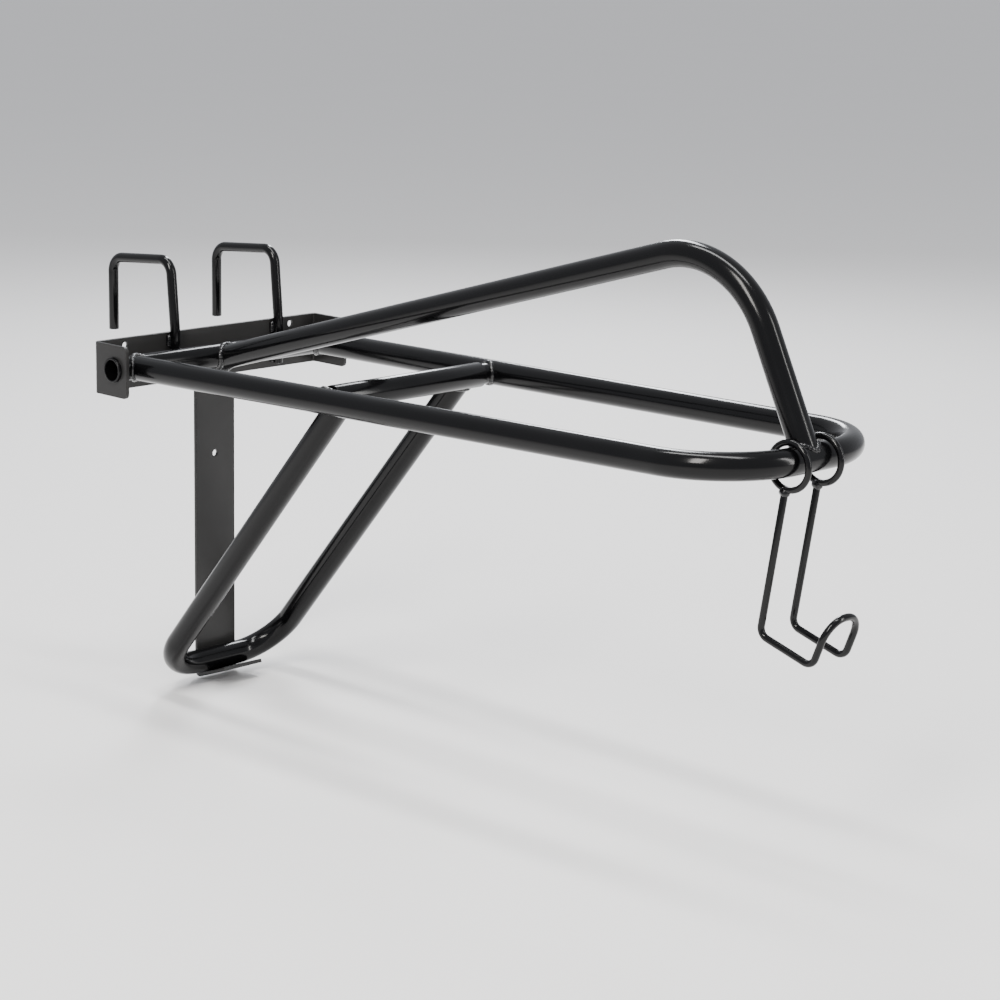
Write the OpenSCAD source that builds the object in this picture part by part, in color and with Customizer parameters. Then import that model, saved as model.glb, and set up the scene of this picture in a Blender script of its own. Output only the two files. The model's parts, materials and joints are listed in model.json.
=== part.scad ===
// Over-the-wall saddle rack: a folding tube arm on a flat-bar wall bracket, with a bridle hook at its nose.
// Millimetres. +X runs along the wall, +Y into the wall and +Z up.
// The origin lies on the wall face, at the height of the arm's pivot.

/* [Tube and bar] */
// Outside diameter of every frame tube
tube_d = 19; // [18:0.5:20]
// Wall of the frame tubes
tube_wall = 1.5; // [1:0.1:2.5]
// Height of the flat bar used for the bracket
bar_h = 40; // [38:1:44]
// Thickness of the flat bar
bar_t = 3; // [2.5:0.5:4]
// Leg size of the weld beads
bead = 2.2; // [1.5:0.1:2.6]

/* [Wall bracket] */
// Overall width across the two ears
bracket_w = 227; // [224:1:260]
// Depth of each ear from the back of the bar
ear_depth = 40; // [38:1:46]
// Distance between the two screws in the bar
screw_span = 170; // [150:1:190]
// Height of those screws above the pivot
screw_z = 13; // [10:1:14]
// Diameter of every screw hole
screw_d = 5.5; // [4:0.5:6]
// Radius on the free corners of the ears
ear_corner_r = 4; // [2:0.5:6]

/* [Strap] */
// Sideways offset of the strap's centre
strap_x = 7.5; // [-10:0.5:10]
// How far the strap reaches up behind the bar
strap_lap = 36; // [20:1:38]
// Depth of the strap's lower corner under the pivot
strap_drop = 266; // [250:1:280]
// Reach of the foot lip in front of the strap
lip_reach = 33; // [30:1:40]
// Upward slope of the foot lip in degrees
lip_angle = 20; // [15:1:25]
// Depth of the strap's screw hole under the pivot
strap_screw_drop = 85; // [70:1:110]

/* [Wall hooks] */
// Diameter of the hook rods
rod_d = 8; // [7:0.5:8]
// Sideways place of the left rod
rod_left_x = -39; // [-60:1:-30]
// Sideways place of the right rod
rod_right_x = 68; // [30:1:70]
// Height of the front bend above the pivot
rod_top = 75.5; // [60:0.5:110]
// Thickest wall that the hooks pass over
wall_gap = 63; // [40:1:70]
// Fall of the hook's top towards the back
rod_fall = 5.5; // [0:0.5:10]
// Length of the leg behind the wall
rod_tail = 58; // [40:1:60]
// Centreline bend radius of the rods
rod_bend_r = 12; // [10:1:14]

/* [Arm] */
// How far the pivot tube's ends stand out beyond the bracket's ears
pivot_overhang = 2.5; // [0:0.5:4]
// Length of the arm from its pivot to its front tube
arm_len = 582; // [560:1:600]
// Rail spacing at the pivot
rail_span = 188; // [180:1:192]
// Rail spacing at the front corners
nose_span = 162; // [158:1:170]
// Centreline bend radius of the two front corners
nose_r = 64; // [60:1:68]
// Rise of the arm above level in degrees
arm_rise = 1; // [0:0.5:2]

/* [Ridge bar] */
// Sideways offset of the ridge bar
ridge_x = -6; // [-10:1:10]
// Slope of the ridge bar above the rails in degrees
ridge_angle = 15; // [13:0.5:17]
// Lean of its front leg from upright in degrees
ridge_lean = 25; // [22:0.5:28]
// Centreline bend radius at its top
ridge_r = 75; // [60:1:85]
// Distance of the leg's foot behind the front tube's axis
ridge_foot_back = 0.5; // [0:0.5:4]

/* [Folding strut] */
// Distance of the strut's hinge from the arm's pivot
hinge_at = 206; // [195:1:215]
// Diameter of the hinge rod between the rails
hinge_d = 15.8; // [14:0.2:15.8]
// Length of the sleeve that turns on the hinge rod
sleeve_len = 150; // [144:1:150]
// How far the sleeve sits to the right of the arm's middle
sleeve_x = -2; // [-2:0.5:2]
// Distance between the strut's two legs
strut_span = 118; // [110:1:122]
// Centreline bend radius of the strut's two lower corners
strut_r = 38; // [32:1:45]

/* [Bridle hook] */
// Sideways offset of the hook
hook_x = -7.5; // [-9:0.5:-5]
// Wire diameter of the hook
wire_d = 5; // [4:0.5:5]
// Wire diameter of the two rings
ring_wire_d = 4.5; // [4:0.5:5]
// Mean diameter of the two rings
ring_d = 31; // [30:1:34]
// Distance between the two rings
ring_span = 34; // [33:1:38]
// Drop from the rings to the hook's lower back corner
hook_drop = 101; // [80:1:130]
// Reach of the hook's floor towards the front
hook_reach = 45; // [35:1:55]
// Height of the hook's front arch
arch_h = 34; // [28:1:45]
// Backward tilt at which the hook hangs in degrees
hook_tilt = 9; // [0:1:12]

/* [Hidden] */
$fn = 32;

running_gap = 0.08;    // radial play of a shaft in its bore
rest_gap = 0.3;        // space between bodies that rest on each other
ring_play = 1.05;      // space over the nose tube inside the rings, which sit partly on its bends
bar_front = -2 * bar_t;
bar_drop = 1;          // the bar's middle lies this far under the pivot's axis
bar_low = -bar_h / 2 - bar_drop;
bar_high = bar_low + bar_h;
bar_bend_r = bar_t + 1.5;
pivot_y = -28;
tube_r = tube_d / 2;
ear_front = ear_depth + bar_t;
rod_y = bar_front - rod_d / 2;
rod_top_y = -rod_d / 2 - 1;
rod_low = bar_low + 4;
bend_slim = 0.04;      // a bend is drawn this much thinner than the straights it joins
bend_overlap = 0.3;    // and the straights run this far into it
lip_thick_drop = bar_t / cos(lip_angle);
lip_bend_r = 1;

// Distance along the arm (s) and height above its plane (h), as a point of the whole frame.
function arm_point(x, s, h) = [x, pivot_y - s * cos(arm_rise) + h * sin(arm_rise),
    s * sin(arm_rise) + h * cos(arm_rise)];
function unit(v) = v / norm(v);

nose_axis = arm_point(0, arm_len, 0);
hinge_axis = arm_point(0, hinge_at, 0);

// The strut's foot touches the strap and the lip.
foot_y = -bar_t - rest_gap - tube_r;
foot_seat = tube_r + rest_gap;
foot_z = -strap_drop + (-foot_y - bar_t + foot_seat * sin(lip_angle)) * tan(lip_angle)
    + foot_seat * cos(lip_angle);
strut_offset = 4;      // the legs' axes pass this far behind the hinge

ridge_h0 = -2.4;       // the ridge bar starts this far under the pivot tube's axis
ridge_foot_s = arm_len - ridge_foot_back;
ridge_top_s = (ridge_foot_s - ridge_h0 * tan(ridge_lean)) / (1 + tan(ridge_angle) * tan(ridge_lean));
ridge_top_h = ridge_h0 + ridge_top_s * tan(ridge_angle);

// ---------- shared shapes ----------

// A straight round bar from a to b.
module bar_between(a, b, d) {
    v = b - a;
    translate(a)
        rotate([0, acos(v[2] / norm(v)), atan2(v[1], v[0])])
            cylinder(d = d, h = norm(v));
}

// Distance from a corner to where its bend starts.
function bend_start(p, q, r, bend_r) = bend_r / tan(acos(unit(p - q) * unit(r - q)) / 2);

// One bend at corner q, on the way from p to r.
module bend(p, q, r, bend_r, d) {
    u = unit(p - q);
    v = unit(r - q);
    half = acos(u * v) / 2;
    centre = q + unit(u + v) * bend_r / sin(half);
    ax = unit(q + u * bend_r / tan(half) - centre);
    ay = -u;
    az = cross(ax, ay);
    multmatrix([[ax[0], ay[0], az[0], centre[0]],
                [ax[1], ay[1], az[1], centre[1]],
                [ax[2], ay[2], az[2], centre[2]],
                [0, 0, 0, 1]])
        rotate_extrude(angle = 180 - 2 * half, $fn = 64)
            translate([bend_r, 0])
                circle(d = d - bend_slim);
}

// A round bar bent at every inner point of the path, each with its own bend radius.
module bent_bar(path, radii, d) {
    last = len(path) - 1;
    function trim(i) = i == 0 || i == last ? 0 : bend_start(path[i - 1], path[i], path[i + 1], radii[i - 1]);
    for (i = [0 : last - 1]) {
        dir = unit(path[i + 1] - path[i]);
        from = i == 0 ? 0 : trim(i) - bend_overlap;
        to = i == last - 1 ? 0 : trim(i + 1) - bend_overlap;
        bar_between(path[i] + dir * from, path[i + 1] - dir * to, d);
    }
    for (i = [1 : last - 1])
        bend(path[i - 1], path[i], path[i + 1], radii[i - 1], d);
}

// The same path with both ends made longer, for cutting a bore through.
function longer(path, by) = let (n = len(path) - 1) [for (i = [0 : n])
    i == 0 ? path[0] + unit(path[0] - path[1]) * by :
    i == n ? path[n] + unit(path[n] - path[n - 1]) * by : path[i]];

module bent_tube(path, radii, d) {
    difference() {
        bent_bar(path, radii, d);
        bent_bar(longer(path, 1), radii, d - 2 * tube_wall);
    }
}

// A fillet of weld where a branch bar meets a main bar.
module weld(main_a, main_b, main_d, branch_a, branch_b, branch_d) {
    difference() {
        intersection() {
            bar_between(main_a, main_b, main_d + 2 * bead);
            bar_between(branch_a, branch_b, branch_d + 2 * bead);
        }
        bar_between(main_a, main_b, main_d);
        bar_between(branch_a, branch_b, branch_d);
    }
}

module paint() {
    color([0.09, 0.09, 0.10]) children();
}

// ---------- wall bracket ----------

// One ear with its rounded free corners and the bearing hole for the pivot tube.
module ear_plate() {
    difference() {
        union() {
            translate([0, -ear_front, bar_low + ear_corner_r])
                cube([bar_t, ear_front - bar_t - bar_bend_r, bar_h - 2 * ear_corner_r]);
            translate([0, -ear_front + ear_corner_r, bar_low])
                cube([bar_t, ear_front - bar_t - bar_bend_r - ear_corner_r, bar_h]);
            for (z = [bar_low + ear_corner_r, bar_high - ear_corner_r])
                translate([0, -ear_front + ear_corner_r, z])
                    rotate([0, 90, 0])
                        cylinder(r = ear_corner_r, h = bar_t);
        }
        translate([-1, pivot_y, 0])
            rotate([0, 90, 0])
                cylinder(r = tube_r + running_gap, h = bar_t + 2);
    }
}

module bar_corner() {
    translate([0, 0, bar_low])
        rotate_extrude(angle = 90)
            translate([bar_bend_r - bar_t, 0])
                square([bar_t, bar_h]);
}

module back_bar() {
    half = bracket_w / 2;
    paint() difference() {
        union() {
            translate([-half + bar_bend_r, bar_front, bar_low])
                cube([bracket_w - 2 * bar_bend_r, bar_t, bar_h]);
            translate([-half, 0, 0])
                ear_plate();
            translate([half - bar_t, 0, 0])
                ear_plate();
            translate([half - bar_bend_r, -bar_t - bar_bend_r, 0])
                bar_corner();
            translate([-half + bar_bend_r, -bar_t - bar_bend_r, 0])
                rotate([0, 0, 90])
                    bar_corner();
        }
        for (side = [-1, 1])
            translate([side * screw_span / 2, 0, screw_z])
                rotate([90, 0, 0])
                    cylinder(d = screw_d, h = 3 * bar_t);
    }
}

// The strap's side view, cut where it turns forward and up into the foot lip.
fold_inside = [-bar_t, -strap_drop];
fold_outside = [0, -strap_drop - lip_thick_drop + lip_bend_r];

module across_strap() {
    translate([strap_x - bar_h / 2, 0, 0])
        rotate([90, 0, 90])
            linear_extrude(bar_h)
                children();
}

module foot_lip() {
    tip = fold_inside + lip_reach * [-1, tan(lip_angle)];
    paint() across_strap()
        polygon([fold_inside, tip, tip - bar_t * [sin(lip_angle), cos(lip_angle)],
            [-lip_bend_r, -strap_drop - lip_thick_drop], fold_outside]);
}

module strap() {
    top = bar_low + strap_lap;
    paint() difference() {
        across_strap()
            polygon([[0, top], [-bar_t, top], fold_inside, fold_outside]);
        translate([strap_x, 1, -strap_screw_drop])
            rotate([90, 0, 0])
                cylinder(d = screw_d, h = bar_t + 2);
    }
}

module strap_weld() {
    paint() intersection() {
        translate([strap_x - bar_h / 2 + 2, -bar_t, bar_low])
            rotate([0, 90, 0])
                cylinder(r = bead, h = bar_h - 4);
        translate([strap_x - bar_h / 2, -bar_t - 2 * bead, bar_low - 2 * bead])
            cube([bar_h, 2 * bead, 2 * bead]);
    }
}

// ---------- wall hooks ----------

function rod_path(x) = [[x, rod_y, rod_low], [x, rod_y, bar_high + 3], [x, rod_top_y, rod_top],
    [x, wall_gap + rod_d / 2, rod_top - rod_fall],
    [x, wall_gap + rod_d / 2, rod_top - rod_fall - rod_tail]];
rod_radii = [40, rod_bend_r, rod_bend_r];

module hook_rod_left() {
    paint() bent_bar(rod_path(rod_left_x), rod_radii, rod_d);
}

module hook_rod_right() {
    paint() bent_bar(rod_path(rod_right_x), rod_radii, rod_d);
}

// Short fillets down both sides of each rod, at the top and the bottom of the bar.
module hook_rod_welds() {
    run = 9;
    paint() for (x = [rod_left_x, rod_right_x], z = [rod_low, bar_high - run - 2])
        difference() {
            intersection() {
                translate([x, rod_y, z])
                    cylinder(d = rod_d + 2 * bead, h = run);
                translate([x - rod_d, bar_front - rod_d / 2, z])
                    cube([2 * rod_d, rod_d / 2, run]);
            }
            translate([x, rod_y, z - 1])
                cylinder(d = rod_d, h = run + 2);
        }
}

// ---------- arm ----------

frame_path = [arm_point(-rail_span / 2, 0, 0), arm_point(-nose_span / 2, arm_len, 0),
    arm_point(nose_span / 2, arm_len, 0), arm_point(rail_span / 2, 0, 0)];
ridge_path = [arm_point(ridge_x, 0, ridge_h0), arm_point(ridge_x, ridge_top_s, ridge_top_h),
    arm_point(ridge_x, ridge_foot_s, 0)];
pivot_half = bracket_w / 2 + pivot_overhang;
pivot_a = [-pivot_half, pivot_y, 0];
pivot_b = [pivot_half, pivot_y, 0];
nose_a = nose_axis + [ridge_x - tube_d, 0, 0];
nose_b = nose_axis + [ridge_x + tube_d, 0, 0];

module pivot_tube() {
    paint() difference() {
        bar_between(pivot_a, pivot_b, tube_d);
        bar_between(pivot_a - [1, 0, 0], pivot_b + [1, 0, 0], tube_d - 2 * tube_wall);
    }
}

module arm_frame() {
    paint() difference() {
        bent_tube(frame_path, [nose_r, nose_r], tube_d);
        bar_between(pivot_a, pivot_b, tube_d);
    }
}

module rail_welds() {
    paint() for (end = [[0, 1], [3, 2]]) {
        a = frame_path[end[0]];
        weld(pivot_a + [bar_t + 2, 0, 0], pivot_b - [bar_t + 2, 0, 0], tube_d,
            a, a + unit(frame_path[end[1]] - a) * 2 * tube_d, tube_d);
    }
}

module ridge_bar() {
    paint() difference() {
        bent_tube(ridge_path, [ridge_r], tube_d);
        bar_between(pivot_a, pivot_b, tube_d);
        bar_between(nose_a, nose_b, tube_d);
    }
}

module ridge_rear_weld() {
    a = ridge_path[0];
    paint() weld([ridge_x - tube_d, pivot_y, 0], [ridge_x + tube_d, pivot_y, 0], tube_d,
        a, a + unit(ridge_path[1] - a) * 2 * tube_d, tube_d);
}

module ridge_front_weld() {
    a = ridge_path[2];
    paint() weld(nose_a, nose_b, tube_d, a, a + unit(ridge_path[1] - a) * 2 * tube_d, tube_d);
}

// ---------- folding strut ----------

rail_x_at_hinge = rail_span / 2 - (rail_span - nose_span) / 2 * hinge_at / arm_len;
hinge_a = hinge_axis - [rail_x_at_hinge, 0, 0];
hinge_b = hinge_axis + [rail_x_at_hinge, 0, 0];
sleeve_a = hinge_axis + [sleeve_x - sleeve_len / 2, 0, 0];
sleeve_b = hinge_axis + [sleeve_x + sleeve_len / 2, 0, 0];
strut_top = [0, hinge_axis[1] + strut_offset, hinge_axis[2]];
strut_foot = [0, foot_y, foot_z];
strut_half = [strut_span / 2, 0, 0];
strut_path = [strut_top - strut_half, strut_foot - strut_half, strut_foot + strut_half,
    strut_top + strut_half];
strut_cut = 4;         // the legs end on a level cut this far under the hinge

module hinge_rod() {
    paint() difference() {
        bar_between(hinge_a, hinge_b, hinge_d);
        bar_between(frame_path[0], frame_path[1], tube_d);
        bar_between(frame_path[3], frame_path[2], tube_d);
    }
}

module hinge_rod_welds() {
    paint() for (side = [[0, 1, hinge_a], [3, 2, hinge_b]])
        weld(frame_path[side[0]], frame_path[side[1]], tube_d, side[2], hinge_axis, hinge_d);
}

module strut_sleeve() {
    paint() difference() {
        bar_between(sleeve_a, sleeve_b, tube_d);
        bar_between(hinge_a, hinge_b, hinge_d + 2 * running_gap);
    }
}

module above_strut_cut() {
    translate([-strut_span, hinge_axis[1] - 2 * tube_d, hinge_axis[2] - strut_cut])
        cube([2 * strut_span, 4 * tube_d, 2 * tube_d]);
}

module strut() {
    paint() difference() {
        bent_tube(strut_path, [strut_r, strut_r], tube_d);
        bar_between(sleeve_a, sleeve_b, tube_d);
        above_strut_cut();
    }
}

module strut_welds() {
    paint() difference() {
        for (end = [0, 3]) {
            a = strut_path[end];
            foot = strut_path[end == 0 ? 1 : 2];
            weld(sleeve_a, sleeve_b, tube_d, a, a + unit(foot - a) * 2 * tube_d, tube_d);
        }
        above_strut_cut();
    }
}

// ---------- bridle hook ----------

ring_r = ring_d / 2;
ring_sag = ring_r - ring_wire_d / 2 - tube_r - ring_play;
leg_top = -ring_sag - ring_r;
hook_floor_fall = 6;   // fall of the hook's floor towards the front
arch_lean = 7;         // the arch leans this far forward over its height
wire_bend_r = 7;
side_path = [[0, leg_top], [0, leg_top - hook_drop],
    [-hook_reach, leg_top - hook_drop - hook_floor_fall],
    [-hook_reach - arch_lean, leg_top - hook_drop - hook_floor_fall + arch_h]];
hook_path = [for (p = side_path) [-ring_span / 2, p[0], p[1]],
    for (i = [3 : -1 : 0]) [ring_span / 2, side_path[i][0], side_path[i][1]]];

// Puts a shape from the nose tube's axis into place, at the angle at which the hook hangs.
module hanging() {
    translate(nose_axis + [hook_x, 0, 0])
        rotate([hook_tilt, 0, 0])
            children();
}

module ring_at(x) {
    translate([x, 0, -ring_sag])
        rotate([0, 90, 0])
            rotate_extrude($fn = 96)
                translate([ring_r, 0])
                    circle(d = ring_wire_d);
}

module bridle_ring_left() {
    paint() hanging() ring_at(-ring_span / 2);
}

module bridle_ring_right() {
    paint() hanging() ring_at(ring_span / 2);
}

module bridle_hook() {
    arch_r = ring_span / 2 - 1;
    paint() hanging() difference() {
        bent_bar(hook_path, [wire_bend_r, wire_bend_r, arch_r, arch_r, wire_bend_r, wire_bend_r], wire_d);
        for (side = [-1, 1])
            ring_at(side * ring_span / 2);
    }
}

module ring_welds() {
    paint() hanging() for (side = [-1, 1])
        difference() {
            translate([side * ring_span / 2, 0, leg_top - ring_wire_d / 2])
                sphere(d = wire_d + 2 * bead - 0.6);
            ring_at(side * ring_span / 2);
            translate([side * ring_span / 2, 0, leg_top - 20])
                cylinder(d = wire_d, h = 20);
        }
}

back_bar();
strap();
foot_lip();
strap_weld();
hook_rod_left();
hook_rod_right();
hook_rod_welds();
pivot_tube();
arm_frame();
rail_welds();
ridge_bar();
ridge_rear_weld();
ridge_front_weld();
hinge_rod();
hinge_rod_welds();
strut_sleeve();
strut();
strut_welds();
bridle_ring_left();
bridle_ring_right();
bridle_hook();
ring_welds();
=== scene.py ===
"""Looks of a folding wall-hung saddle rack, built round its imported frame."""

import enum
import json
import logging
import math
from abc import ABC, abstractmethod
from collections.abc import Callable, Iterable, Sequence
from dataclasses import dataclass, field

import bpy
import numpy as np
from mathutils import Matrix, Vector
from mathutils.geometry import delaunay_2d_cdt


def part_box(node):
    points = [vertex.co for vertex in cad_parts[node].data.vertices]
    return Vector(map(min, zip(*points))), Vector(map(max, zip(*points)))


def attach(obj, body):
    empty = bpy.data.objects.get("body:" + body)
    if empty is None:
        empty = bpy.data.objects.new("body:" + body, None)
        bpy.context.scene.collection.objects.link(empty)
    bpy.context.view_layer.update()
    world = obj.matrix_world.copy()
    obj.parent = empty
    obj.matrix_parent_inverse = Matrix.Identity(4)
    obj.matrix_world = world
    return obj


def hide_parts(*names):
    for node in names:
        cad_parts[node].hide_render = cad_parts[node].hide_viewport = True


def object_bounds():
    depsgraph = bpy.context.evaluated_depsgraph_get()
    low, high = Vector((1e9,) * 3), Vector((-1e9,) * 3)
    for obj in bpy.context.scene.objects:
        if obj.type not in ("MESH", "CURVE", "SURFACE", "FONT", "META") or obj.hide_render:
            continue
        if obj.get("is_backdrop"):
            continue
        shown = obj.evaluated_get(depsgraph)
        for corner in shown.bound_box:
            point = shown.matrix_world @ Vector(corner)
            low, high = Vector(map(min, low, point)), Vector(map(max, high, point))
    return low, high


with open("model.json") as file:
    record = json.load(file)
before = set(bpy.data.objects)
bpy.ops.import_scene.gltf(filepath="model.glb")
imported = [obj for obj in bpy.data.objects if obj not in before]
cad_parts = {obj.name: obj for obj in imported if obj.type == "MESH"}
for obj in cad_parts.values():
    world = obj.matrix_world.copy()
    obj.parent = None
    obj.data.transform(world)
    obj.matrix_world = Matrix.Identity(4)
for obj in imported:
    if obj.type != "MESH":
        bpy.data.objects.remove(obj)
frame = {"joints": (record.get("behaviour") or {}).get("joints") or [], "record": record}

MM = 0.001
TAU = 2 * math.pi
LOG = logging.getLogger("saddle_rack")


# ---------------------------------------------------------------- finishes


class Slot(enum.Enum):
    """The record's material slots."""

    BAR = "bar_paint"
    TUBE = "tube_paint"
    ROD = "rod_paint"
    WELD = "weld_paint"


class Relief(enum.Enum):
    """The kinds of small relief that paint shows."""

    ORANGE_PEEL = "orange_peel"
    MILL_GRAIN = "mill_grain"
    SPATTER = "spatter"


class NodeGraph:
    """A thin wrapper that adds and links shader nodes."""

    def __init__(self, material: bpy.types.Material) -> None:
        """Clears the material's tree and adds its output.

        Args:
            material: the material to fill.
        """
        material.use_nodes = True
        self.tree = material.node_tree
        self.tree.nodes.clear()
        self.output = self.add("ShaderNodeOutputMaterial")

    def add(self, kind: str, **settings: object) -> bpy.types.Node:
        """Adds one node.

        Args:
            kind: the node's type name.
            settings: attributes to set on it.

        Returns:
            The new node.
        """
        node = self.tree.nodes.new(kind)
        for name, value in settings.items():
            setattr(node, name, value)
        return node

    def link(self, source: bpy.types.NodeSocket, target: bpy.types.NodeSocket) -> None:
        """Links an output to an input.

        Args:
            source: the output socket.
            target: the input socket.
        """
        self.tree.links.new(source, target)

    def noise(self, scale: float, detail: float = 3.0,
              stretch: Sequence[float] = (1, 1, 1)) -> bpy.types.NodeSocket:
        """Adds solid noise in the object's own space.

        Args:
            scale: cells per metre.
            detail: octaves.
            stretch: factors on the three axes.

        Returns:
            The noise's value, about 0.5 on average.
        """
        place = self.add("ShaderNodeTexCoord")
        mapping = self.add("ShaderNodeMapping")
        mapping.inputs["Scale"].default_value = tuple(stretch)
        texture = self.add("ShaderNodeTexNoise")
        texture.inputs["Scale"].default_value = scale
        texture.inputs["Detail"].default_value = detail
        self.link(place.outputs["Object"], mapping.inputs["Vector"])
        self.link(mapping.outputs["Vector"], texture.inputs["Vector"])
        return texture.outputs["Fac"]

    def ramp(self, value: bpy.types.NodeSocket, low: float, high: float,
             to_low: float, to_high: float) -> bpy.types.NodeSocket:
        """Maps a value linearly, with its ends clamped.

        Args:
            value: the value to map.
            low: the input's low end.
            high: the input's high end.
            to_low: the output at the low end.
            to_high: the output at the high end.

        Returns:
            The mapped value.
        """
        node = self.add("ShaderNodeMapRange")
        for name, number in (("From Min", low), ("From Max", high), ("To Min", to_low), ("To Max", to_high)):
            node.inputs[name].default_value = number
        self.link(value, node.inputs["Value"])
        return node.outputs["Result"]

    def maths(self, operation: str, a: bpy.types.NodeSocket,
              b: bpy.types.NodeSocket | float) -> bpy.types.NodeSocket:
        """Adds one scalar operation.

        Args:
            operation: its name, such as MULTIPLY.
            a: the first value.
            b: the second value, a socket or a number.

        Returns:
            The result.
        """
        node = self.add("ShaderNodeMath", operation=operation)
        self.link(a, node.inputs[0])
        if isinstance(b, float):
            node.inputs[1].default_value = b
        else:
            self.link(b, node.inputs[1])
        return node.outputs[0]

    def edge(self, radius: float) -> tuple[bpy.types.NodeSocket, bpy.types.NodeSocket]:
        """Finds convex and concave edges with a bevel lookup.

        Args:
            radius: how far an edge reaches, in metres.

        Returns:
            A mask that is 1 on edges, and the softened normal.
        """
        bevel = self.add("ShaderNodeBevel", samples=4)
        bevel.inputs["Radius"].default_value = radius
        geometry = self.add("ShaderNodeNewGeometry")
        dot = self.add("ShaderNodeVectorMath", operation="DOT_PRODUCT")
        self.link(bevel.outputs["Normal"], dot.inputs[0])
        self.link(geometry.outputs["Normal"], dot.inputs[1])
        return self.ramp(dot.outputs["Value"], 0.80, 0.97, 1.0, 0.0), bevel.outputs["Normal"]


@dataclass(frozen=True)
class Paint:
    """Black paint or powder coat on steel, thin or worn at the edges."""

    slot: Slot
    colour: tuple[float, float, float]
    roughness: float
    roughness_spread: float
    coat: float
    relief: Relief
    relief_height: float
    wear: float
    specular: float
    steel: tuple[float, float, float] = (0.30, 0.29, 0.28)

    def _relief(self, graph: NodeGraph) -> bpy.types.NodeSocket:
        """Builds the height of this paint's small relief.

        Args:
            graph: the material's graph.

        Returns:
            A height value.
        """
        if self.relief is Relief.MILL_GRAIN:
            long_grain = graph.noise(160, 4, (1.0, 1.0, 6.0))
            return graph.maths("ADD", long_grain, graph.maths("MULTIPLY", graph.noise(1500, 2), 0.6))
        if self.relief is Relief.SPATTER:
            drops = graph.ramp(graph.noise(620, 2), 0.60, 0.74, 0.0, 1.0)
            return graph.maths("ADD", graph.noise(420, 3), drops)
        waves = graph.noise(420, 1)
        return graph.maths("ADD", graph.maths("MULTIPLY", waves, 1.3), graph.noise(1300, 2))

    def material(self) -> bpy.types.Material:
        """Builds the node tree.

        Returns:
            A new material.
        """
        made = bpy.data.materials.new(self.slot.value)
        graph = NodeGraph(made)
        shader = graph.add("ShaderNodeBsdfPrincipled")
        graph.link(shader.outputs["BSDF"], graph.output.inputs["Surface"])

        mask, soft_normal = graph.edge(0.45 * MM)
        chips = graph.ramp(graph.noise(260, 5), 0.56, 0.66, 0.0, 1.0)
        worn = graph.maths("MULTIPLY", graph.maths("MULTIPLY", mask, chips), self.wear)

        tone = graph.add("ShaderNodeMix", data_type="RGBA")
        tone.inputs["A"].default_value = (*(c * 0.75 for c in self.colour), 1)
        tone.inputs["B"].default_value = (*(c * 1.3 for c in self.colour), 1)
        graph.link(graph.noise(22, 4), tone.inputs["Factor"])
        bare = graph.add("ShaderNodeMix", data_type="RGBA")
        bare.inputs["B"].default_value = (*self.steel, 1)
        graph.link(worn, bare.inputs["Factor"])
        graph.link(tone.outputs["Result"], bare.inputs["A"])
        graph.link(bare.outputs["Result"], shader.inputs["Base Color"])
        graph.link(worn, shader.inputs["Metallic"])

        low, high = self.roughness - self.roughness_spread, self.roughness + self.roughness_spread
        smear = graph.ramp(graph.noise(34, 5, (1.0, 0.5, 1.0)), 0.3, 0.7, low, high)
        graph.link(graph.maths("ADD", smear, graph.maths("MULTIPLY", worn, 0.2)), shader.inputs["Roughness"])
        shader.inputs["Coat Weight"].default_value = self.coat
        shader.inputs["Coat Roughness"].default_value = 0.09
        shader.inputs["Specular IOR Level"].default_value = self.specular

        bump = graph.add("ShaderNodeBump")
        bump.inputs["Strength"].default_value = 0.5
        bump.inputs["Distance"].default_value = self.relief_height
        graph.link(self._relief(graph), bump.inputs["Height"])
        graph.link(soft_normal, bump.inputs["Normal"])
        graph.link(bump.outputs["Normal"], shader.inputs["Normal"])
        made.diffuse_color = (*self.colour, 1)
        return made


@dataclass(frozen=True)
class Plain:
    """A plain stage surface with a faint mottle."""

    name: str
    colour: tuple[float, float, float]
    roughness: float

    def material(self) -> bpy.types.Material:
        """Builds the node tree.

        Returns:
            A new material.
        """
        made = bpy.data.materials.new(self.name)
        graph = NodeGraph(made)
        shader = graph.add("ShaderNodeBsdfPrincipled")
        graph.link(shader.outputs["BSDF"], graph.output.inputs["Surface"])
        tone = graph.add("ShaderNodeMix", data_type="RGBA")
        tone.inputs["A"].default_value = (*(c * 0.985 for c in self.colour), 1)
        tone.inputs["B"].default_value = (*self.colour, 1)
        graph.link(graph.noise(3, 4), tone.inputs["Factor"])
        graph.link(tone.outputs["Result"], shader.inputs["Base Color"])
        shader.inputs["Roughness"].default_value = self.roughness
        return made


PAINTS = (
    # The bar paint is a satin black. Its colour is set lighter than the tubes' black as painted light, standing
    # in for the lit look of the ears that face the lamp.
    Paint(Slot.BAR, (0.0150, 0.0145, 0.0142), 0.40, 0.06, 0.04, Relief.MILL_GRAIN, 0.030 * MM, 0.30, 0.30),
    Paint(Slot.TUBE, (0.0022, 0.0022, 0.0025), 0.17, 0.04, 0.04, Relief.ORANGE_PEEL, 0.008 * MM, 0.20, 0.20),
    Paint(Slot.ROD, (0.0022, 0.0022, 0.0025), 0.15, 0.04, 0.05, Relief.ORANGE_PEEL, 0.008 * MM, 0.20, 0.24),
    Paint(Slot.WELD, (0.0030, 0.0030, 0.0034), 0.16, 0.06, 0.15, Relief.SPATTER, 0.10 * MM, 0.30, 0.40),
)


# ---------------------------------------------------------------- meshes


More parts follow.
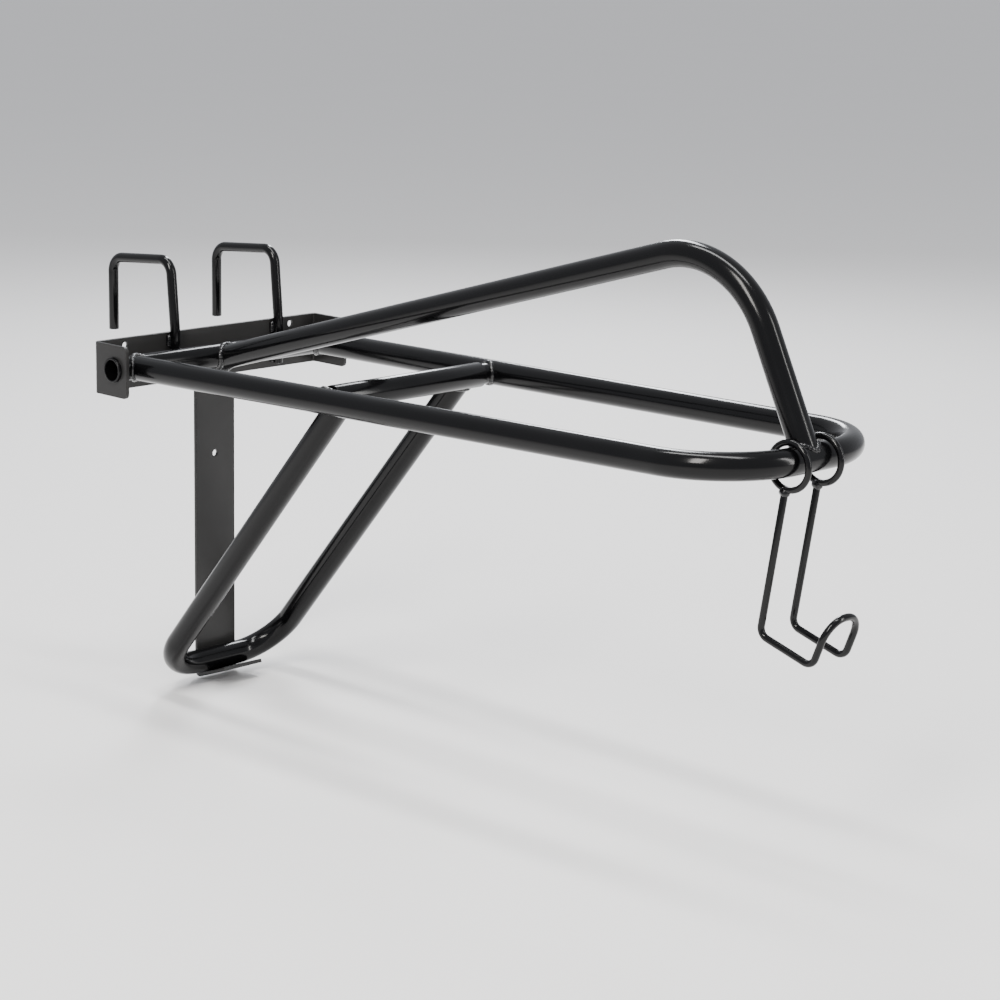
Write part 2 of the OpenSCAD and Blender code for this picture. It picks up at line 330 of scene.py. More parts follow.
class MeshDraft:
    """Collects rings of vertices and the faces between them."""

    def __init__(self) -> None:
        """Starts an empty draft."""
        self.points: list[Vector] = []
        self.faces: list[tuple[int, ...]] = []

    def ring(self, points: Iterable[Vector]) -> list[int]:
        """Adds vertices.

        Args:
            points: their places.

        Returns:
            Their numbers.
        """
        start = len(self.points)
        self.points.extend(points)
        return list(range(start, len(self.points)))

    def bridge(self, a: Sequence[int], b: Sequence[int]) -> None:
        """Joins two closed rings of the same size with four-sided faces.

        Args:
            a: the first ring.
            b: the second ring.
        """
        n = len(a)
        for i in range(n):
            j = (i + 1) % n
            self.faces.append((a[i], a[j], b[j], b[i]))

    def fan(self, ring: Sequence[int], flip: bool = False) -> None:
        """Closes a ring with triangles round its middle.

        Args:
            ring: the ring.
            flip: whether the faces look the other way.
        """
        middle = sum((self.points[i] for i in ring), Vector()) / len(ring)
        tip = self.ring([middle])[0]
        for i, a in enumerate(ring):
            b = ring[(i + 1) % len(ring)]
            self.faces.append((b, a, tip) if flip else (a, b, tip))

    def absorb(self, other: "MeshDraft") -> None:
        """Adds another draft's faces.

        Args:
            other: the draft to add.
        """
        start = len(self.points)
        self.points.extend(other.points)
        self.faces.extend(tuple(i + start for i in f) for f in other.faces)

    def build(self, name: str, sharp_deg: float = 35.0) -> bpy.types.Object:
        """Makes the Blender object.

        Args:
            name: its name.
            sharp_deg: faces that meet at more than this angle keep a sharp edge.

        Returns:
            The new object, linked to the scene.
        """
        mesh = bpy.data.meshes.new(name)
        mesh.from_pydata([tuple(p) for p in self.points], [], self.faces)
        mesh.validate()
        mesh.shade_smooth()
        mesh.set_sharp_from_angle(angle=math.radians(sharp_deg))
        made = bpy.data.objects.new(name, mesh)
        bpy.context.scene.collection.objects.link(made)
        return made


@dataclass(frozen=True)
class Station:
    """One place along a bent path."""

    centre: Vector
    along: Vector
    inward: Vector | None = None
    squeeze: float = 0.0


@dataclass(frozen=True)
class BentPath:
    """A run of straight lines whose inner corners are rounded."""

    corners: tuple[Vector, ...]
    radii: tuple[float, ...] = ()
    bend_steps: int = 20

    def _bend(self, i: int) -> tuple[Vector, Vector, Vector, float]:
        """Finds one bend.

        Args:
            i: the number of its corner.

        Returns:
            Its centre, its start, its axis and its angle.
        """
        p, q, r = self.corners[i - 1 : i + 2]
        back, on = (p - q).normalized(), (r - q).normalized()
        half = back.angle(on) / 2
        radius = self.radii[i - 1]
        centre = q + (back + on).normalized() * (radius / math.sin(half))
        start = q + back * (radius / math.tan(half))
        return centre, start, (-back).cross(on).normalized(), math.pi - 2 * half

    def stations(self) -> list[Station]:
        """Samples the path, closely in its bends.

        Returns:
            The places in order.
        """
        first, last = self.corners[0], self.corners[-1]
        found = [Station(first, (self.corners[1] - first).normalized())]
        for i in range(1, len(self.corners) - 1):
            centre, start, axis, angle = self._bend(i)
            travel = (self.corners[i] - self.corners[i - 1]).normalized()
            for k in range(self.bend_steps + 1):
                turn = Matrix.Rotation(angle * k / self.bend_steps, 3, axis)
                place = centre + turn @ (start - centre)
                ease = math.sin(math.pi * k / self.bend_steps)
                found.append(Station(place, turn @ travel, (centre - place).normalized(), ease))
        found.append(Station(last, (last - self.corners[-2]).normalized()))
        return found

    def lengths(self) -> list[float]:
        """Measures the distance along the path to each station.

        Returns:
            One length a station.
        """
        total, out = 0.0, [0.0]
        places = self.stations()
        for a, b in zip(places, places[1:]):
            total += (b.centre - a.centre).length
            out.append(total)
        return out


class EndCut(ABC):
    """How the end of a swept tube is cut."""

    @abstractmethod
    def reach(self, point: Vector, out: Vector) -> float:
        """Finds where a line of the tube's surface ends.

        Args:
            point: the line's point in the end plane.
            out: the direction out of the tube's end.

        Returns:
            The distance from the point along that direction.
        """


@dataclass(frozen=True)
class Cope(EndCut):
    """A saddle cut that sits on a round tube."""

    axis_point: Vector
    axis: Vector
    radius: float

    def reach(self, point: Vector, out: Vector) -> float:
        """Finds where the line first meets the tube. See EndCut."""
        n = self.axis.normalized()
        rel = point - self.axis_point
        p, d = rel - n * rel.dot(n), out - n * out.dot(n)
        a, b, c = d.dot(d), p.dot(d), p.dot(p) - self.radius**2
        return (-b - math.sqrt(max(b * b - a * c, 0.0))) / a


@dataclass(frozen=True)
class LevelCut(EndCut):
    """A level saw cut at one height."""

    height: float

    def reach(self, point: Vector, out: Vector) -> float:
        """Finds where the line meets the level. See EndCut."""
        return (self.height - point.z) / out.z


@dataclass(frozen=True)
class FirstOf(EndCut):
    """Whichever of several cuts a line meets first."""

    cuts: tuple[EndCut, ...]

    def reach(self, point: Vector, out: Vector) -> float:
        """Finds the nearest of the cuts. See EndCut."""
        return min(cut.reach(point, out) for cut in self.cuts)


@dataclass(frozen=True)
class Sweep:
    """A round bar or tube along a path."""

    path: BentPath
    radius: float
    bore: float = 0.0
    sides: int = 56
    flatten: float = 0.03
    edge: float = 0.35 * MM
    start: EndCut | None = None
    end: EndCut | None = None
    closed: bool = False

    def _frames(self, places: Sequence[Station]) -> list[tuple[Vector, Vector]]:
        """Carries a sideways direction along the path without twist.

        Args:
            places: the path's stations.

        Returns:
            Two directions across the path at each station.
        """
        along = places[0].along
        side = along.orthogonal().normalized()
        out = []
        for s in places:
            side = (side - s.along * side.dot(s.along)).normalized()
            out.append((side, s.along.cross(side)))
        return out

    def _circle(self, s: Station, across: tuple[Vector, Vector], radius: float) -> list[Vector]:
        """Makes the section at one station, a little flat in a bend.

        Args:
            s: the station.
            across: two directions across the path.
            radius: the section's radius.

        Returns:
            The section's points.
        """
        out = []
        for i in range(self.sides):
            a = TAU * i / self.sides
            arm = (across[0] * math.cos(a) + across[1] * math.sin(a)) * radius
            if s.inward is not None:
                arm -= s.inward * arm.dot(s.inward) * self.flatten * s.squeeze
            out.append(s.centre + arm)
        return out

    def _skin(self, draft: MeshDraft, places: Sequence[Station], radius: float,
              edge: float) -> list[list[int]]:
        """Adds one surface, outer or inner.

        Args:
            draft: the draft to add to.
            places: the path's stations.
            radius: the surface's radius.
            edge: the size of its rounded end edges, negative inside a bore.

        Returns:
            The surface's rings, from start to end.
        """
        frames = self._frames(places)
        rings: list[list[Vector]] = []
        last = len(places) - 1
        for i, (s, across) in enumerate(zip(places, frames)):
            circle = self._circle(s, across, radius)
            cut, out = (self.start, -s.along) if i == 0 else (self.end, s.along)
            if i not in (0, last):
                rings.append(circle)
                continue
            if cut is not None:
                rings.append([p + out * cut.reach(p, out) for p in circle])
                continue
            back = abs(edge)
            steps = [[p - out * back * (1 - math.sin(t))
                      - (p - s.centre).normalized() * edge * (1 - math.cos(t))
                      for p in circle] for t in (0.0, math.pi / 4, math.pi / 2)]
            rings.extend(steps if i == last else reversed(steps))
        return [draft.ring(r) for r in rings]

    def draft(self) -> MeshDraft:
        """Builds the bar or tube.

        Returns:
            Its closed mesh.
        """
        draft = MeshDraft()
        places = self.path.stations()
        if self.closed:
            rings = [draft.ring(self._circle(s, f, self.radius))
                     for s, f in zip(places, self._frames(places))]
            for a, b in zip(rings, rings[1:] + rings[:1]):
                draft.bridge(a, b)
            return draft
        outer = self._skin(draft, places, self.radius, self.edge)
        for a, b in zip(outer, outer[1:]):
            draft.bridge(a, b)
        if self.bore:
            inner = self._skin(draft, places, self.bore, -self.edge * 0.6)
            for a, b in zip(inner, inner[1:]):
                draft.bridge(b, a)
            draft.bridge(inner[0], outer[0])
            draft.bridge(outer[-1], inner[-1])
        else:
            draft.fan(outer[0], flip=True)
            draft.fan(outer[-1])
        return draft


@dataclass(frozen=True)
class RoundHole:
    """A round hole in a flat pattern."""

    u: float
    v: float
    radius: float


@dataclass(frozen=True)
class FoldedBar:
    """Flat bar with rounded edges, holes and folds across its width.

    Its flat pattern is drawn along u (the bar's length) and v (its width), and wrapped on a path.
    """

    path: BentPath
    width_dir: Vector
    v_low: float
    v_high: float
    thickness: float
    corner: tuple[float, float, float, float]
    holes: tuple[RoundHole, ...] = ()
    edge: float = 0.4 * MM

    def _outline(self, length: float, stops: Sequence[float]) -> list[tuple[float, float]]:
        """Draws the flat pattern's outline with rounded corners.

        Args:
            length: the bar's flat length.
            stops: lengths at which its long edges need a vertex.

        Returns:
            Points in order, anticlockwise.
        """
        def corner(u: float, v: float, r: float, start: float) -> list[tuple[float, float]]:
            return [(u + r * math.cos(start + k * math.pi / 16), v + r * math.sin(start + k * math.pi / 16))
                    for k in range(9)]

        a, b, c, d = self.corner
        points = corner(a, self.v_low + a, a, math.pi)
        points += [(u, self.v_low) for u in stops]
        points += corner(length - b, self.v_low + b, b, 1.5 * math.pi)
        points += corner(length - c, self.v_high - c, c, 0.0)
        points += [(u, self.v_high) for u in reversed(stops)]
        points += corner(d, self.v_high - d, d, math.pi / 2)
        return points

    @staticmethod
    def _inset(loop: Sequence[tuple[float, float]], by: float) -> list[tuple[float, float]]:
        """Moves a closed loop to its left, into the bar.

        Args:
            loop: the loop's points.
            by: the distance.

        Returns:
            The moved points.
        """
        n, out = len(loop), []
        for i in range(n):
            p, q, r = (Vector(loop[k % n]) for k in (i - 1, i, i + 1))
            a, b = (q - p).normalized(), (r - q).normalized()
            t = (a + b).normalized()
            grow = 1 / max(t.dot(b), 0.5)
            out.append((q.x - t.y * by * grow, q.y + t.x * by * grow))
        return out

    def _wrap(self, u: float, v: float, w: float, places: Sequence[Station],
              lengths: Sequence[float]) -> Vector:
        """Puts one point of the flat pattern in its place.

        Args:
            u: the distance along the bar.
            v: the height across its width.
            w: the distance from its middle plane.
            places: the path's stations.
            lengths: the distance to each station.

        Returns:
            The point in the row frame.
        """
        i = min(max(int(np.searchsorted(lengths, u)), 1), len(lengths) - 1)
        span = lengths[i] - lengths[i - 1]
        f = (u - lengths[i - 1]) / span
        a, b = places[i - 1], places[i]
        along = a.along.lerp(b.along, min(max(f, 0.0), 1.0)).normalized()
        centre = a.centre.lerp(b.centre, f)
        return centre + along.cross(self.width_dir) * w + self.width_dir * v

    def draft(self) -> MeshDraft:
        """Builds the bar.

        Returns:
            Its closed mesh.
        """
        places, lengths = self.path.stations(), self.path.lengths()
        stops = lengths[1:-1]
        loops = [self._outline(lengths[-1], stops)]
        for h in self.holes:
            loops.append([(h.u + h.radius * math.cos(-TAU * k / 48), h.v + h.radius * math.sin(-TAU * k / 48))
                          for k in range(48)])
        half, draft = self.thickness / 2, MeshDraft()
        e = self.edge
        layers = [(e, half), (e * 0.29, half - e * 0.29), (0.0, half - e),
                  (0.0, e - half), (e * 0.29, e * 0.29 - half), (e, -half)]
        tops: list[list[int]] = []
        bottoms: list[list[int]] = []
        flat: list[tuple[float, float]] = []
        for loop in loops:
            rings = []
            for by, w in layers:
                moved = self._inset(loop, by)
                rings.append(draft.ring(self._wrap(u, v, w, places, lengths) for u, v in moved))
            for a, b in zip(rings, rings[1:]):
                draft.bridge(a, b)
            tops.append(rings[0])
            bottoms.append(rings[-1])
            flat.extend(self._inset(loop, e))
        top = [i for r in tops for i in r]
        bottom = [i for r in bottoms for i in r]
        edges, start = [], 0
        for r in tops:
            edges += [(start + i, start + (i + 1) % len(r)) for i in range(len(r))]
            start += len(r)
        low = {round(u, 7): i for i, (u, v) in enumerate(loops[0]) if v == self.v_low and u in stops}
        high = {round(u, 7): i for i, (u, v) in enumerate(loops[0]) if v == self.v_high and u in stops}
        edges += [(low[u], high[u]) for u in low if u in high]
        verts, _, faces, origin, _, _ = delaunay_2d_cdt([Vector(p) for p in flat], edges, [], 1, 1e-7)
        keep = [o[0] if o else -1 for o in origin]
        for f in faces:
            numbers = [keep[i] for i in f]
            if -1 in numbers:
                raise ValueError("the flat pattern crosses itself")
            mid = sum((verts[i] for i in f), Vector((0, 0))) / len(f)
            if any((mid - Vector((h.u, h.v))).length < h.radius for h in self.holes):
                continue
            draft.faces.append(tuple(top[i] for i in numbers))
            draft.faces.append(tuple(bottom[i] for i in reversed(numbers)))
        return draft


@dataclass(frozen=True)
class Bead:
    """A rippled weld bead laid in the corner between two surfaces."""

    line: tuple[tuple[Vector, Vector], ...]
    size: float
    closed: bool
    seed: int
    pitch: float = 2.4 * MM
    sides: int = 14

    def draft(self) -> MeshDraft:
        """Builds the bead.

        Returns:
            Its closed mesh.
        """
        rng = np.random.default_rng(self.seed)
        line = self._even(0.35 * MM)
        n = len(line)
        length = sum((line[i + 1][0] - line[i][0]).length for i in range(n - 1))
        ripples = max(int(round(length / self.pitch)), 1)
        lumps = rng.uniform(-1, 1, ripples + 1)
        lumps[-1] = lumps[0] if self.closed else lumps[-1]
        phases = rng.uniform(0, TAU, 3)
        draft, rings = MeshDraft(), []
        for i, (p, out) in enumerate(line):
            s = i / (n if self.closed else n - 1)
            x = s * ripples
            k, f = int(x) % ripples, x % 1.0
            ripple = 0.5 - 0.5 * math.cos(TAU * f**0.75)
            lump = lumps[k] * (1 - f) + lumps[k + 1] * f
            slow = sum(math.sin(TAU * s * (m + 1) + phases[m]) for m in range(3)) / 3
            r = self.size * (0.80 + 0.10 * ripple + 0.05 * lump + 0.05 * slow)
            if not self.closed:
                r *= math.sqrt(max(1 - (2 * s - 1) ** 8, 0.02))
            before = line[i - 1][0] if i or self.closed else p
            after = line[(i + 1) % n][0] if i < n - 1 or self.closed else p
            along = (after - before).normalized()
            up = (out - along * out.dot(along)).normalized()
            side = along.cross(up)
            wobble = 0.12 * self.size * math.sin(TAU * s * 5 + phases[0])
            ring = []
            for j in range(self.sides):
                a = TAU * j / self.sides
                ring.append(p + up * (math.cos(a) * r * 0.92) + side * (math.sin(a) * r * 1.05 + wobble))
            rings.append(draft.ring(ring))
        for a, b in zip(rings, rings[1:]):
            draft.bridge(b, a)
        if self.closed:
            draft.bridge(rings[0], rings[-1])
        else:
            draft.fan(rings[0])
            draft.fan(rings[-1], flip=True)
        return draft

    def _even(self, step: float) -> list[tuple[Vector, Vector]]:
        """Resamples the line at an even step.

        Args:
            step: the distance between samples.

        Returns:
            Places with their outward directions.
        """
        line = list(self.line) + ([self.line[0]] if self.closed else [])
        places = np.array([p for p, _ in line])
        outs = np.array([o for _, o in line])
        at = np.concatenate([[0], np.cumsum(np.linalg.norm(np.diff(places, axis=0), axis=1))])
        count = max(int(at[-1] / step), 8)
        want = np.linspace(0, at[-1], count, endpoint=not self.closed)
        p = np.stack([np.interp(want, at, places[:, k]) for k in range(3)], 1)
        o = np.stack([np.interp(want, at, outs[:, k]) for k in range(3)], 1)
        return [(Vector(a), Vector(b).normalized()) for a, b in zip(p, o)]


@dataclass(frozen=True)
class Blob:
    """A short lump of weld."""

    centre: Vector
    radii: Vector
    seed: int
    turn: Matrix = field(default_factory=lambda: Matrix.Identity(3))

    def draft(self) -> MeshDraft:
        """Builds the lump.

        Returns:
            Its closed mesh.
        """
        rng = np.random.default_rng(self.seed)
        waves = [(Vector(rng.normal(size=3)).normalized() * rng.uniform(2, 7), rng.uniform(0, TAU))
                 for _ in range(7)]
        draft = MeshDraft()
        rows, columns = 20, 30
        rings = []
        for i in range(1, rows):
            t = math.pi * i / rows
            ring = []
            for j in range(columns):
                a = TAU * j / columns
                d = Vector((math.sin(t) * math.cos(a), math.sin(t) * math.sin(a), math.cos(t)))
                swell = 0.93 + 0.07 * sum(math.sin(w.dot(d) + ph) for w, ph in waves) / 3
                out = Vector(tuple(d[k] * self.radii[k] * min(swell, 1.0) for k in range(3)))
                ring.append(self.centre + self.turn @ out)
            rings.append(draft.ring(ring))
        for a, b in zip(rings, rings[1:]):
            draft.bridge(b, a)
        draft.fan(rings[0])
        draft.fan(rings[-1], flip=True)
        return draft


def saddle_line(main: tuple[Vector, Vector, float], branch: tuple[Vector, Vector, float],
                keep: Callable[[Vector], bool] = lambda p: True) -> tuple[tuple[Vector, Vector], ...]:
    """Follows the line on which a branch tube meets a main tube.

    Args:
        main: a point on the main tube's axis, the axis and the tube's radius.
        branch: a point on the branch's axis, the direction away from the main tube, and its radius.
        keep: tells whether a point of the line is wanted.

    Returns:
        Places, each with the direction that points out of the corner.
    """
    cope = Cope(main[0], main[1], main[2])
    n, away, r = main[1].normalized(), branch[1].normalized(), branch[2]
    across = n.cross(away).normalized()
    other = away.cross(across)
    found: list[tuple[Vector, Vector]] = []
    for i in range(240):
        a = TAU * i / 240
        normal = across * math.cos(a) + other * math.sin(a)
        start = branch[0] + normal * r
        p = start - away * cope.reach(start, -away)
        rel = p - main[0]
        lift = (rel - n * rel.dot(n)).normalized()
        found.append((p, (lift + normal).normalized()))
    wanted = [keep(p) for p, _ in found]
    if all(wanted):
        return tuple(found)
    first = next(i for i in range(240) if wanted[i] and not wanted[i - 1])
    return tuple(found[(first + i) % 240] for i in range(sum(wanted)))


# ---------------------------------------------------------------- measurements


def joint_place(name: str) -> Vector:
    """Reads where a joint's axis is.

    Args:
        name: the joint's name.

    Returns:
        A point on the axis.
    """
    return Vector(next(j for j in frame["joints"] if j["name"] == name)["pos_m"])


def middle(node: str) -> Vector:
    """Finds the middle of a CAD node's box.

    Args:
        node: the node's name.

    Returns:
        The middle.
    """
    low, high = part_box(node)
    return (low + high) / 2


def shared_box(*nodes: str) -> tuple[Vector, Vector]:
    """Finds the box round several CAD nodes.

    Args:
        nodes: the nodes' names.

    Returns:
        Its lowest and highest corners.
    """
    boxes = [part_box(node) for node in nodes]
    return (Vector(map(min, *(tuple(b[0]) for b in boxes), (math.inf,) * 3)),
            Vector(map(max, *(tuple(b[1]) for b in boxes), (-math.inf,) * 3)))


@dataclass(frozen=True)
class Frame:
    """Places and sizes shared by the sub-assemblies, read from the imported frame."""

    pivot: Vector = field(default_factory=lambda: joint_place("arm_lift"))
    hinge: Vector = field(default_factory=lambda: joint_place("strut_swing"))
    nose: Vector = field(default_factory=lambda: joint_place("bridle_swing"))
    tube_r: float = field(default_factory=lambda: (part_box("pivot_tube")[1].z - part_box("pivot_tube")[0].z) / 2)
    tube_wall: float = 1.5 * MM
    bead: float = 2.2 * MM
    x_dir: Vector = field(default_factory=lambda: Vector((1, 0, 0)))

    @property
    def bore(self) -> float:
        """The bore radius of the frame tubes."""
        return self.tube_r - self.tube_wall

    @property
    def seat(self) -> float:
        """The radius at which a coped end sits inside another tube's wall."""
        return self.tube_r - self.tube_wall / 2

    def arm(self, x: float, along: float, above: float) -> Vector:
        """Places a point by its distance along the arm.

        Args:
            x: the sideways place.
            along: the distance from the pivot to the front.
            above: the height above the plane of the rails.

        Returns:
            The point in the row frame.
        """
        forward = (self.nose - self.pivot).normalized()
        up = self.x_dir.cross(forward) * -1
        up = up if up.z > 0 else -up
        return Vector((x, self.pivot.y, self.pivot.z)) + forward * along + up * above

    @property
    def arm_length(self) -> float:
        """The distance from the pivot to the nose tube's axis."""
        return (self.nose - self.pivot).length


class Assembly(ABC):
    """A sub-assembly that rides on one CAD body."""

    body: str = ""

    def __init__(self, base: Frame, finishes: dict[Slot, bpy.types.Material]) -> None:
        """Keeps what every piece needs.

        Args:
            base: the shared measurements.
            finishes: a material for each slot.
        """
        self.base = base
        self.finishes = finishes

    def place(self, draft: MeshDraft, node: str, slot: Slot, sharp_deg: float = 35.0,
              also: tuple[str, ...] = ()) -> bpy.types.Object:
        """Turns a draft into a finished piece that stands for a CAD node.

        Args:
            draft: the mesh.
            node: the CAD node.
            slot: its material slot.
            sharp_deg: the angle from which an edge is sharp.
            also: further CAD nodes that the same piece stands for.

        Returns:
            The piece.
        """
        made = draft.build(f"look_{node}", sharp_deg)
        made.data.materials.append(self.finishes[slot])
        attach(made, self.body)
        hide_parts(node, *also)
        low, high = shared_box(node, *also)
        points = [tuple(v.co) for v in made.data.vertices]
        reach = (map(min, *points), map(max, *points))
        off = max(abs(a - b) for ours, theirs in zip(reach, (low, high)) for a, b in zip(ours, theirs))
        LOG.info("%s: %d faces, box within %.2f mm of the frame's",
                 made.name, len(made.data.polygons), off / MM)
        return made

    @abstractmethod
    def build(self) -> None:
        """Builds every piece of the sub-assembly."""


# ---------------------------------------------------------------- wall bracket


class Bracket(Assembly):
    """The flat-bar wall bracket with its strap, foot lip and hook rods."""

    body = "bracket"
    thickness = 3.0 * MM
    fold_r = 3.0 * MM
    ear_corner_r = 4.0 * MM
    running_gap = 0.08 * MM
    lip_fold_r = 3.2 * MM
    strap_hole_r = 2.75 * MM
    rod_lean = 5.0 * MM
    rod_fall = 5.5 * MM
    rod_tail = 58.0 * MM
    rod_top = 75.5 * MM
    rod_shoulder = 3.0 * MM
    rod_bends = (40.0 * MM, 12.0 * MM, 12.0 * MM)
    rod_edge = 0.7 * MM
    rod_bead = 2.7 * MM
    weld_low = 0.5 * MM
    weld_below_top = 14.0 * MM
    weld_sunk = 0.9 * MM
    weld_steps = 10
    strap_corner_r = 0.6 * MM
    slope_guess = 0.3
    slope_steps = 30

    def _back_bar(self) -> None:
        """Builds the bent back bar with its ears and holes."""
        low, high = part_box("back_bar")
        half = self.thickness / 2
        x0, x1, back = low.x + half, high.x - half, high.y - half
        corners = (Vector((x0, low.y, 0)), Vector((x0, back, 0)),
                   Vector((x1, back, 0)), Vector((x1, low.y, 0)))
        path = BentPath(corners, (self.fold_r, self.fold_r), 10)
        lengths = path.lengths()
        total = lengths[-1]
        ear_u = self.base.pivot.y - low.y
        screws = next(m for m in frame["record"]["mounts"] if m["name"] == "bar_screws")
        centre_u = total / 2
        spread = screws["dims"]["spacing_x_mm"] * MM / 2
        hole_r = screws["dims"]["hole_r_mm"] * MM
        bearing = self.base.tube_r + self.running_gap
        r = self.ear_corner_r
        bar = FoldedBar(path, Vector((0, 0, 1)), low.z, high.z, self.thickness, (r, r, r, r), (
            RoundHole(ear_u, self.base.pivot.z, bearing),
            RoundHole(total - ear_u, self.base.pivot.z, bearing),
            RoundHole(centre_u - spread, screws["pos_m"][2], hole_r),
            RoundHole(centre_u + spread, screws["pos_m"][2], hole_r)))
        self.place(bar.draft(), "back_bar", Slot.BAR, 19)

    def _strap(self) -> None:
        """Builds the strap and its upturned foot lip."""
        low, high = shared_box("strap", "foot_lip")
        half = self.thickness / 2
        slope = self._lip_slope()
        edge_y = low.y + half * math.sin(slope)
        y_mid = high.y - half
        fold_top = low.z + self.thickness / math.cos(slope)
        run = (-self.thickness - edge_y) - half * math.sin(slope)
        inner = Vector((0, -self.thickness, fold_top))
        into_bar = Vector((0, math.sin(slope), math.cos(slope))) * half
        tip = inner + Vector((0, -run, run * math.tan(slope))) - into_bar
        start = inner - into_bar
        corner_z = start.z - (y_mid - start.y) * math.tan(slope)
        corners = (Vector((0, y_mid, high.z)), Vector((0, y_mid, corner_z)), tip)
        screw = next(m for m in frame["record"]["mounts"] if m["name"] == "strap_screw")
        hole = RoundHole(high.z - screw["pos_m"][2], -screw["pos_m"][0], self.strap_hole_r)
        bar = FoldedBar(BentPath(corners, (self.lip_fold_r,), 10), Vector((-1, 0, 0)), -high.x, -low.x,
                        self.thickness, (self.strap_corner_r,) * 4, (hole,))
        self.place(bar.draft(), "strap", Slot.BAR, 19, ("foot_lip",))

    def _lip_slope(self) -> float:
        """Works out how steeply the foot lip rises, from the size of its box.

        Returns:
            The angle in radians.
        """
        low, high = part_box("foot_lip")
        run, rise = -self.thickness - low.y, high.z - low.z
        slope = self.slope_guess
        for _ in range(self.slope_steps):
            slope = math.atan((rise - self.thickness * math.cos(slope)) / run)
        return slope

    def _rod(self, node: str) -> tuple[Vector, Vector]:
        """Builds one hook rod.

        Args:
            node: its CAD node.

        Returns:
            The two ends of its lower straight run.
        """
        low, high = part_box(node)
        r = (high.x - low.x) / 2
        x = (low.x + high.x) / 2
        bar_front, bar_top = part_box("back_bar")[1].y - self.thickness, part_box("back_bar")[1].z
        foot = low.z
        front_y, back_y = bar_front - r, high.y - r
        corners = (Vector((x, front_y, foot)), Vector((x, front_y, bar_top + self.rod_shoulder)),
                   Vector((x, front_y + self.rod_lean, self.rod_top)),
                   Vector((x, back_y, self.rod_top - self.rod_fall)),
                   Vector((x, back_y, self.rod_top - self.rod_fall - self.rod_tail)))
        sweep = Sweep(BentPath(corners, self.rod_bends, 18), r, sides=40, edge=self.rod_edge)
        self.place(sweep.draft(), node, Slot.ROD)
        return corners[0], corners[1]

    def build(self) -> None:
        """Builds every piece of the bracket."""
        self._back_bar()
        self._strap()
        welds = MeshDraft()
        for number, node in enumerate(("hook_rod_left", "hook_rod_right")):
            foot, top = self._rod(node)
            r = (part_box(node)[1].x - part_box(node)[0].x) / 2
            face = foot.y + r
            for side in (-1, 1):
                out = Vector((side, -0.6, 0)).normalized()
                for z in (foot.z + self.weld_low, top.z - self.weld_below_top):
                    line = tuple((Vector((foot.x + side * r * 0.93, face - self.weld_sunk, z + k * MM)), out)
                                 for k in range(self.weld_steps))
                    welds.absorb(Bead(line, self.rod_bead, False, 11 + number * 7 + side).draft())
        self.place(welds, "hook_rod_welds", Slot.WELD, 50)
        low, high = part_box("strap_weld")
        line = tuple((Vector((x, high.y - 0.2 * MM, high.z - 0.2 * MM)), Vector((0, -1, -1)).normalized())
                     for x in np.linspace(low.x, high.x, 30))
        self.place(Bead(line, 2.1 * MM, False, 5).draft(), "strap_weld", Slot.WELD, 50)


# ---------------------------------------------------------------- arm


